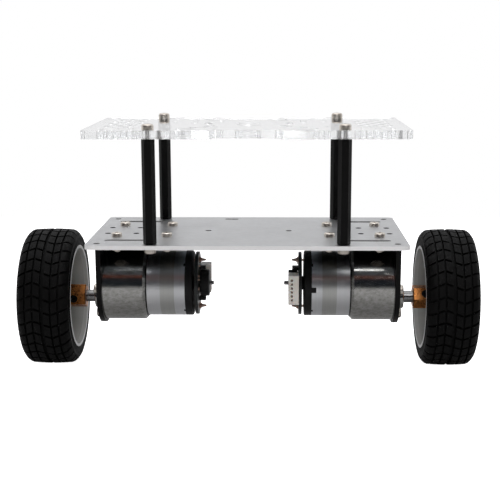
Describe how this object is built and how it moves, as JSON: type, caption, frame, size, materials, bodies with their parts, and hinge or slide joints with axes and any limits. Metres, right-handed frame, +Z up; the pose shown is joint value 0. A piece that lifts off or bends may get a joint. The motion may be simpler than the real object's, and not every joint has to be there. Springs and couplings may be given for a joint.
{
  "type": "two wheel robot car",
  "caption": "Robot car chassis: metal plate and clear deck on standoffs, with an encoder gearmotor, hex hub and rubber-tyred wheel on each side.",
  "frame": {"origin": "on the floor under the middle of the car, midway between the wheels", "axes": "+X along the axle towards the right wheel, +Y to the back, +Z up"},
  "size_m": [0.225, 0.0824, 0.1252],
  "materials": {
    "satin_aluminium": "satin, fine bead-blasted",
    "clear_acrylic": "polished faces, laser-cut edges",
    "black_standoff": "black anodised, slightly glossy",
    "black_steel": "black oxide",
    "nickel_steel": "nickel plated, warm tint",
    "black_bracket": "smooth black coating",
    "cast_metal": "die cast, lightly mottled",
    "plated_steel": "drawn and zinc plated",
    "ground_steel": "ground bright",
    "gear_steel": "machined, oiled",
    "bronze": "sintered bronze",
    "brass": "machined brass",
    "copper_winding": "enamelled copper wire on steel",
    "ferrite": "moulded ferrite",
    "carbon": "carbon brush",
    "black_plastic": "moulded black plastic",
    "white_plastic": "moulded nylon, off white",
    "circuit_board": "solder-masked board",
    "tinned_metal": "tinned, soldered",
    "rim_plastic": "moulded grey plastic",
    "tyre_rubber": "moulded rubber tread"
  },
  "bodies": {
    "chassis": {"chassis_plate": "satin_aluminium", "top_deck": "clear_acrylic", "front_left_standoff": "black_standoff", "front_right_standoff": "black_standoff", "rear_left_standoff": "black_standoff", "rear_right_standoff": "black_standoff", "standoff_screws": "nickel_steel", "bracket_screws": "nickel_steel", "bracket_nuts": "nickel_steel", "gearbox_screws": "nickel_steel", "gear_pins": "ground_steel", "motor_terminals": "tinned_metal", "hall_sensors": "black_plastic", "connector_pins": "tinned_metal", "left_motor_bracket": "black_bracket", "left_gearbox_housing": "cast_metal", "left_gearbox_back_plate": "cast_metal", "left_output_bush": "bronze", "left_motor_can": "plated_steel", "left_stator_magnets": "ferrite", "left_motor_end_cap": "black_plastic", "left_brushes": "carbon", "left_encoder_board": "circuit_board", "left_encoder_connector": "white_plastic", "right_motor_bracket": "black_bracket", "right_gearbox_housing": "cast_metal", "right_gearbox_back_plate": "cast_metal", "right_output_bush": "bronze", "right_motor_can": "plated_steel", "right_stator_magnets": "ferrite", "right_motor_end_cap": "black_plastic", "right_brushes": "carbon", "right_encoder_board": "circuit_board", "right_encoder_connector": "white_plastic"},
    "left_wheel": {"left_output_shaft": "ground_steel", "left_output_gear": "gear_steel", "left_hub_coupling": "brass", "left_set_screw": "black_steel", "left_wheel_rim": "rim_plastic", "left_tyre": "tyre_rubber", "left_wheel_screw": "nickel_steel"},
    "left_second_gear": {"left_second_gear": "gear_steel"},
    "left_first_gear": {"left_first_gear": "gear_steel"},
    "left_rotor": {"left_motor_shaft": "ground_steel", "left_armature": "copper_winding", "left_motor_pinion": "brass", "left_encoder_magnet": "ferrite"},
    "right_wheel": {"right_output_shaft": "ground_steel", "right_output_gear": "gear_steel", "right_hub_coupling": "brass", "right_set_screw": "black_steel", "right_wheel_rim": "rim_plastic", "right_tyre": "tyre_rubber", "right_wheel_screw": "nickel_steel"},
    "right_second_gear": {"right_second_gear": "gear_steel"},
    "right_first_gear": {"right_first_gear": "gear_steel"},
    "right_rotor": {"right_motor_shaft": "ground_steel", "right_armature": "copper_winding", "right_motor_pinion": "brass", "right_encoder_magnet": "ferrite"}
  },
  "joints": [
    {"name": "left_wheel_spin", "type": "hinge", "parent": "chassis", "child": "left_wheel", "pos_m": [-0.09975, 0, 0.0345], "axis": [1, 0, 0], "continuous": true},
    {"name": "left_second_gear_spin", "type": "hinge", "parent": "chassis", "child": "left_second_gear", "pos_m": [-0.063, 0.00229, 0.04526], "axis": [1, 0, 0], "continuous": true},
    {"name": "left_first_gear_spin", "type": "hinge", "parent": "chassis", "child": "left_first_gear", "pos_m": [-0.057, -0.00653, 0.04805], "axis": [1, 0, 0], "continuous": true},
    {"name": "left_rotor_spin", "type": "hinge", "parent": "chassis", "child": "left_rotor", "pos_m": [-0.04, 0, 0.0415], "axis": [1, 0, 0], "continuous": true},
    {"name": "right_wheel_spin", "type": "hinge", "parent": "chassis", "child": "right_wheel", "pos_m": [0.09975, 0, 0.0345], "axis": [1, 0, 0], "continuous": true},
    {"name": "right_second_gear_spin", "type": "hinge", "parent": "chassis", "child": "right_second_gear", "pos_m": [0.063, -0.00229, 0.04526], "axis": [1, 0, 0], "continuous": true},
    {"name": "right_first_gear_spin", "type": "hinge", "parent": "chassis", "child": "right_first_gear", "pos_m": [0.057, 0.00653, 0.04805], "axis": [1, 0, 0], "continuous": true},
    {"name": "right_rotor_spin", "type": "hinge", "parent": "chassis", "child": "right_rotor", "pos_m": [0.04, 0, 0.0415], "axis": [1, 0, 0], "continuous": true}
  ],
  "couplings": [
    {"joint": "left_second_gear_spin", "follows": "left_wheel_spin", "ratio": -3.4},
    {"joint": "left_first_gear_spin", "follows": "left_wheel_spin", "ratio": 9.18},
    {"joint": "left_rotor_spin", "follows": "left_wheel_spin", "ratio": -24.786},
    {"joint": "right_second_gear_spin", "follows": "right_wheel_spin", "ratio": -3.4},
    {"joint": "right_first_gear_spin", "follows": "right_wheel_spin", "ratio": 9.18},
    {"joint": "right_rotor_spin", "follows": "right_wheel_spin", "ratio": -24.786}
  ]
}
